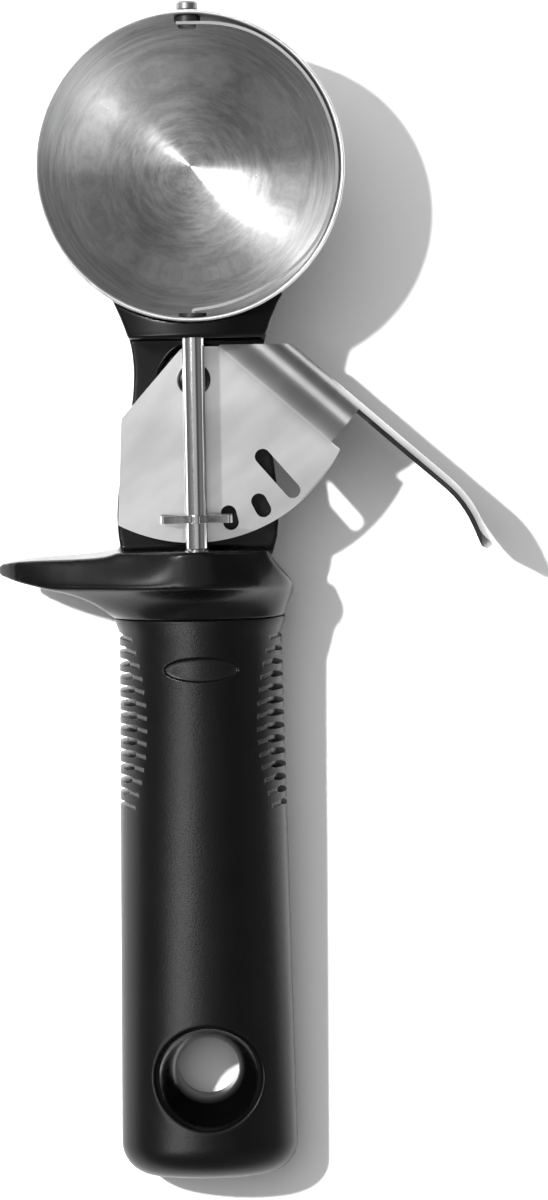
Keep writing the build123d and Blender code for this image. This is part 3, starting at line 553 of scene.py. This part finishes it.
def fin_gap(x, y):
    """Depth of the gap between fins at x from the middle, and how much of it is the pale bar."""
    nearest = round((FIN_FIRST - y) / FIN_PITCH)
    middle = (FIN_COUNT - 1) / 2
    best = (0.0, 0.0)
    for index in (nearest - 1, nearest, nearest + 1):
        if not 0 <= index < FIN_COUNT:
            continue
        reach = REACH_END + (REACH_MID - REACH_END) * (1 - ((index - middle) / middle) ** 2)
        inside = abs(x) - reach
        centre = FIN_FIRST - index * FIN_PITCH + (min(max(inside, 0), BAR) - BAR) * BAR_SLOPE
        opened = ramp(inside - BAR, -GAP_WIDENING, GAP_WIDENING)
        half = GAP_HALF_W[0] + (GAP_HALF_W[1] - GAP_HALF_W[0]) * opened
        gap = ramp(half - abs(y - centre), -GAP_EDGE, GAP_EDGE) * ramp(inside, 0, GAP_START)
        deep = ramp(inside - BAR, 0, GAP_STEP)
        depth = gap * (GAP_DEPTH[0] + (GAP_DEPTH[1] - GAP_DEPTH[0]) * deep)
        if depth > best[0]:
            best = (depth, gap * (1 - deep))
    return best


def steps_back(start, end, step):
    """Places from start towards end, a step apart."""
    places = []
    while start > end:
        places.append(start)
        start -= step
    return places


def grip_rows():
    """Places along the grip with the inset of the section at each."""
    rows = [
        (GRIP_FRONT - FRONT_R * (1 - cos(a)), FRONT_R * (1 - sin(a)))
        for a in (0, 0.4, 0.8, 1.2, pi / 2)
    ]
    rows += [(y, 0) for y in LEAD_ROWS]
    rows += [(y, 0) for y in steps_back(FIN_ZONE[0], FIN_ZONE[1], FIN_ROW)]
    rows += [(y, 0) for y in steps_back(FIN_ZONE[1], PLAIN_END, PLAIN_ROW)]
    for i in range(BUTT_STEPS + 1):
        a = pi / 2 * i / BUTT_STEPS
        rows.append((GRIP_END + BUTT_R * (1 - sin(a)), BUTT_R * (1 - cos(a))))
    return rows


ROWS = grip_rows()


class Skin:
    """Points and faces of the grip as they are made, and how pale each point is."""

    def __init__(self):
        self.points, self.pale, self.faces = [], [], []

    def point(self, x, y, z, tint=0.0):
        """Add a point, x from the grip's middle, and return its number."""
        self.points.append(local(GRIP_X + x, y, z))
        self.pale.append(tint)
        return len(self.points) - 1

    def bridge(self, first, second):
        """Add the quads between two rings of points."""
        for k in range(len(first)):
            n = (k + 1) % len(first)
            self.faces.append((first[k], first[n], second[n], second[k]))

    def fan(self, ring, hub):
        """Close a ring with triangles round a middle point."""
        self.faces.extend((ring[k], ring[(k + 1) % len(ring)], hub) for k in range(len(ring)))


def grid_point(row, column):
    """Number of the point in a row and column of the grid."""
    return row * COLUMNS + column % COLUMNS


def opening_round(y, half_size, middle):
    """First and last row, first and last column of the grid's opening round a place on a face."""
    inside = [j for j, (row_y, inset) in enumerate(ROWS) if inset == 0 and abs(row_y - y) < half_size[1]]
    reach = 0
    while abs(section(middle + reach + 1, y, 0)[0]) < half_size[0]:
        reach += 1
    return inside[0], inside[-1], middle - reach, middle + reach


def outline(opening):
    """Numbers of the points round an opening, clockwise in grid order."""
    r0, r1, c0, c1 = opening
    loop = [grid_point(r0, c) for c in range(c0, c1)]
    loop += [grid_point(r, c1) for r in range(r0, r1)]
    loop += [grid_point(r1, c) for c in range(c1, c0, -1)]
    loop += [grid_point(r, c0) for r in range(r1, r0, -1)]
    return loop


def add_grid(skin, openings):
    """Points of the whole grid, with the gaps between the fins, and its faces outside the openings."""
    for y, inset in ROWS:
        in_fins = FIN_ZONE[1] < y < FIN_ZONE[0]
        for column in range(COLUMNS):
            depth = tint = 0.0
            if in_fins:
                depth, tint = fin_gap(section(column, y, 0)[0], y)
            x, z = section(column, y, inset + depth)
            skin.point(x, y, z, tint)
    for j in range(len(ROWS) - 1):
        for i in range(COLUMNS):
            if any(r0 <= j < r1 and c0 <= i < c1 for r0, r1, c0, c1 in openings):
                continue
            corners = (j, i), (j, i + 1), (j + 1, i + 1), (j + 1, i)
            skin.faces.append(tuple(grid_point(*corner) for corner in corners))


def add_inward(skin, opening, centre_y, rx, ry, side, rings):
    """Rings from an opening in to an ellipse on the face; returns the last ring and its angles."""
    last = outline(opening)
    flat = [(skin.points[v] - local(GRIP_X, 0, 0)) / MM for v in last]
    turn = [atan2((p.y - centre_y) / ry, p.x / rx) for p in flat]
    for step in range(1, rings + 1):
        share = step / rings
        ring = []
        for p, a in zip(flat, turn):
            x = p.x + (rx * cos(a) - p.x) * share
            y = p.y + (centre_y + ry * sin(a) - p.y) * share
            ring.append(skin.point(x, y, face_z(x, y, side)))
        skin.bridge(last, ring)
        last = ring
    return last, turn


def add_hole_mouth(skin, opening, side):
    """Upper or lower mouth of the hang hole with its rounded lip; returns the wall's ring and angles."""
    rim = HOLE_R + HOLE_LIP
    last, turn = add_inward(skin, opening, HOLE_Y, rim, rim, side, HOLE_RINGS)
    for step in range(1, LIP_RINGS + 1):
        a = pi / 2 * step / LIP_RINGS
        ring = []
        for t in turn:
            r = rim - HOLE_LIP * sin(a)
            z = face_z(rim * cos(t), HOLE_Y + rim * sin(t), side) - side * HOLE_LIP * (1 - cos(a))
            ring.append(skin.point(r * cos(t), HOLE_Y + r * sin(t), z))
        skin.bridge(last, ring)
        last = ring
    return last, turn


def add_hole(skin, upper_opening, lower_opening):
    """Both mouths of the hang hole and the wall between them."""
    upper, upper_turn = add_hole_mouth(skin, upper_opening, 1)
    lower, lower_turn = add_hole_mouth(skin, lower_opening, -1)

    def nearest(t):
        """Place in the lower ring that lies at the angle t."""
        return min(
            range(len(lower)),
            key=lambda k: abs(cos(lower_turn[k]) - cos(t)) + abs(sin(lower_turn[k]) - sin(t)),
        )

    skin.bridge(upper, [lower[nearest(t)] for t in upper_turn])


def add_badge(skin, opening):
    """Bare oval recess with a bevelled edge."""
    last, turn = add_inward(skin, opening, BADGE_Y, BADGE_RX, BADGE_RY, 1, BADGE_RINGS)
    floor_rx, floor_ry = BADGE_RX - BADGE_EDGE[-1][0], BADGE_RY - BADGE_EDGE[-1][0]
    rings = [(BADGE_RX - inset, BADGE_RY - inset, depth) for inset, depth in BADGE_EDGE]
    rings += [(floor_rx * k, floor_ry * k, BADGE_DEPTH) for k in FLOOR_RINGS]
    for rx, ry, depth in rings:
        tint = BADGE_TINT if depth == BADGE_DEPTH else 0.0
        ring = []
        for t in turn:
            x, y = rx * cos(t), BADGE_Y + ry * sin(t)
            ring.append(skin.point(x, y, face_z(x, y, 1) - depth, tint))
        skin.bridge(last, ring)
        last = ring
    skin.fan(last, skin.point(0, BADGE_Y, face_z(0, BADGE_Y, 1) - BADGE_DEPTH, BADGE_TINT))


def add_end(skin, row):
    """Flat end of the grip inside its first or last row."""
    y, inset = ROWS[row]
    middle = along_grip(GRIP_WIDEST, y)
    last = [grid_point(row, i) for i in range(COLUMNS)]
    for share in END_RINGS:
        ring = []
        for column in range(COLUMNS):
            x, z = section(column, y, inset)
            ring.append(skin.point(x * share, y, middle + (z - middle) * share))
        skin.bridge(last, ring)
        last = ring
    skin.fan(last, skin.point(0, y, middle))


def make_grip():
    """Soft sleeve with its fins, hang hole and oval recess."""
    hole_top = opening_round(HOLE_Y, HOLE_BLOCK, TOP)
    hole_bottom = opening_round(HOLE_Y, HOLE_BLOCK, BOTTOM)
    badge = opening_round(BADGE_Y, BADGE_BLOCK, TOP)
    skin = Skin()
    add_grid(skin, (hole_top, hole_bottom, badge))
    add_hole(skin, hole_top, hole_bottom)
    add_badge(skin, badge)
    add_end(skin, 0)
    add_end(skin, len(ROWS) - 1)

    mesh = bpy.data.meshes.new("grip_sleeve")
    mesh.from_pydata(skin.points, [], skin.faces)
    mesh.update()
    piece = new_object("grip_sleeve", mesh)
    mesh.attributes.new("pale", "FLOAT", "POINT").data.foreach_set("value", skin.pale)
    edit_mesh(mesh, lambda work: bmesh.ops.recalc_face_normals(work, faces=work.faces))
    settle(piece, RUBBER, "handle", "grip", sharp=50)
    return piece


sleeve = make_grip()

# ---- Lever: the CAD form with its sheet's sharp edges broken ----
EDGE_WIDTH, EDGE_ANGLE = 0.16, 32      # edges that turn by more than the angle are broken
FLAT_ANGLE = 0.4                       # and faces that turn by less are joined

lever = copy_of("thumb_lever", "lever_sheet")
edit_mesh(
    lever.data,
    lambda work: bmesh.ops.dissolve_limit(
        work, angle_limit=radians(FLAT_ANGLE), verts=work.verts, edges=work.edges
    ),
)
edge = lever.modifiers.new("edge", "BEVEL")
edge.width = EDGE_WIDTH * MM
edge.segments = 2
edge.limit_method = "ANGLE"
edge.angle_limit = radians(EDGE_ANGLE)
edge.harden_normals = True
weigh = lever.modifiers.new("weigh", "WEIGHTED_NORMAL")
weigh.keep_sharp = True
weigh.weight = 80
settle(lever, LEVER_STEEL, "lever", "thumb_lever", sharp=EDGE_ANGLE)
apply_modifiers(lever)

spring = copy_of("return_spring", "spring_wire")
settle(spring, SPRING_STEEL, None, "return_spring", sharp=35)
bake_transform(spring)

# ---- Stage ----
TABLE_SIZE = 6.0           # metres

bpy.ops.mesh.primitive_plane_add(size=TABLE_SIZE, location=(0, 0, 0))
table = bpy.context.object
table.name = "table"
dress(table, table_white())

# ---- Camera ----
FRAME_W, FRAME_H = 548, 1200
FOCAL_PX = 3727.8
NADIR_PX = (205.0, 360.0)      # where the point straight under the camera falls
ROLL = radians(1.05)
CAMERA_MM = (2.20, -36.23, 703.5)
SENSOR = 36.0


def camera_turn():
    """Turn of the camera: the world's axes as it sees them, from the nadir's pixel and the roll."""
    down = Vector((NADIR_PX[0] - FRAME_W / 2, FRAME_H / 2 - NADIR_PX[1], -FOCAL_PX)).normalized()
    up = -down
    along = Vector((-sin(ROLL), cos(ROLL), 0))
    along = (along - up * along.dot(up)).normalized()
    side = along.cross(up)
    return Matrix((side, along, up))


camera_data = bpy.data.cameras.new("camera")
camera_data.sensor_fit = "VERTICAL"
camera_data.sensor_height = SENSOR
camera_data.lens = FOCAL_PX / FRAME_H * SENSOR
camera_data.clip_start = 0.01
camera = bpy.data.objects.new("camera", camera_data)
bpy.context.scene.collection.objects.link(camera)
camera.matrix_world = Matrix.Translation(local(*CAMERA_MM)) @ camera_turn().to_4x4()
bpy.context.scene.camera = camera


# ---- Lamps ----
def panel(name, place, size, power, glossy=True, diffuse=True, only=()):
    """Area light at a place in millimetres from the bowl's centre, aimed at the middle of the scoop.

    The size is in metres and the power in watts. With only, the light reaches just those pieces.
    """
    data = bpy.data.lights.new(name, "AREA")
    data.shape = "RECTANGLE" if isinstance(size, tuple) else "DISK"
    data.size, data.size_y = size if isinstance(size, tuple) else (size, size)
    data.energy = power
    light = bpy.data.objects.new(name, data)
    light.location = local(*place)
    light.rotation_euler = (light.location - local(0, -40, 0)).to_track_quat("Z", "Y").to_euler()
    light.visible_glossy = glossy
    light.visible_diffuse = diffuse
    bpy.context.scene.collection.objects.link(light)
    if only:
        group = bpy.data.collections.new(name + "_group")
        for piece in only:
            group.objects.link(piece)
        light.light_linking.receiver_collection = group


panel("key", (-436, 199, 801), 0.045, 21.5, glossy=False)
panel("fill", (-274, 434, 1504), 1.6, 10.0, glossy=False)
panel("shine", (-403, 262, 823), 0.05, 6.0, diffuse=False)
panel("side", (-520, 80, 940), (0.14, 0.4), 1.3, diffuse=False)
panel("sheen", (-430, -420, 890), (0.16, 0.6), 4.8, diffuse=False, only=(sleeve, moulding))


# ---- Surroundings ----
SOFTBOX = (-0.46, 0.44, 0.77)      # direction of a large soft light in the world's picture
AMBIENT = 0.09                     # glow that comes from everywhere


def studio_world():
    """Soft surroundings: bright overhead, at the sides and at the ends, dim in two opposite corners."""
    world = bpy.data.worlds.new("studio")
    world.use_nodes = True
    tree = world.node_tree
    direction = add(tree, "ShaderNodeTexCoord").outputs["Generated"]
    split = add(tree, "ShaderNodeSeparateXYZ")
    put(tree, split.inputs[0], direction)
    x, y, z = split.outputs
    overhead = remap(tree, z, 0.90, 0.992, 0.0, 0.50)
    sides = remap(tree, calc(tree, "ABSOLUTE", x), 0.5, 0.95, 0.0, 0.38)
    ends = remap(tree, calc(tree, "ABSOLUTE", y), 0.3, 0.9, 0.0, 0.40)
    corner = calc(tree, "ABSOLUTE", calc(tree, "ADD", x, y))
    lit = remap(tree, corner, 0.35, 1.1, 1.0, 0.35)
    toward = add(tree, "ShaderNodeVectorMath", operation="DOT_PRODUCT")
    put(tree, toward.inputs[0], direction)
    toward.inputs[1].default_value = SOFTBOX
    softbox = remap(tree, toward.outputs["Value"], 0.78, 0.99, 0.0, 0.40)
    glow = calc(tree, "ADD", calc(tree, "ADD", sides, ends), AMBIENT)
    glow = calc(tree, "ADD", calc(tree, "MULTIPLY_ADD", glow, lit, overhead), softbox)
    background = tree.nodes["Background"]
    put(tree, background.inputs["Color"], grey(tree, glow))
    background.inputs["Strength"].default_value = 1.0
    return world


bpy.context.scene.world = studio_world()
bpy.context.scene.view_settings.view_transform = "Standard"
